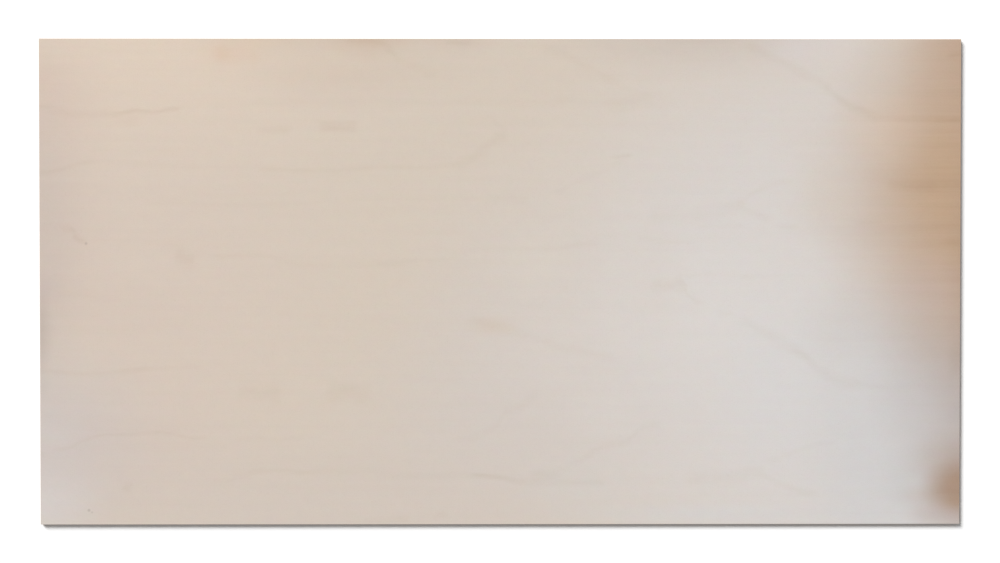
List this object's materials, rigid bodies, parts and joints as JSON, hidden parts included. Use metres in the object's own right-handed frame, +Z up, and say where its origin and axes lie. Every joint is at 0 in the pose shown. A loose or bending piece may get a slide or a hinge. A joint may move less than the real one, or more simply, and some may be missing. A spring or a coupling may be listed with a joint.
{
  "type": "plywood sheet",
  "caption": "Flat rectangular sheet of pale birch plywood with sanded faces, sawn edges that show the crossed veneers, and eased arrises.",
  "frame": {"origin": "middle of the sheet's underside, which lies on the floor", "axes": "+X along the sheet's length and the grain of its face veneers, +Y across its width, +Z up through its thickness, out of the face that shows in the picture"},
  "size_m": [2.37, 1.25, 0.012],
  "materials": {
    "birch_plywood": "satin"
  },
  "bodies": {
    "root": {"plywood_sheet": "birch_plywood"}
  },
  "joints": []
}
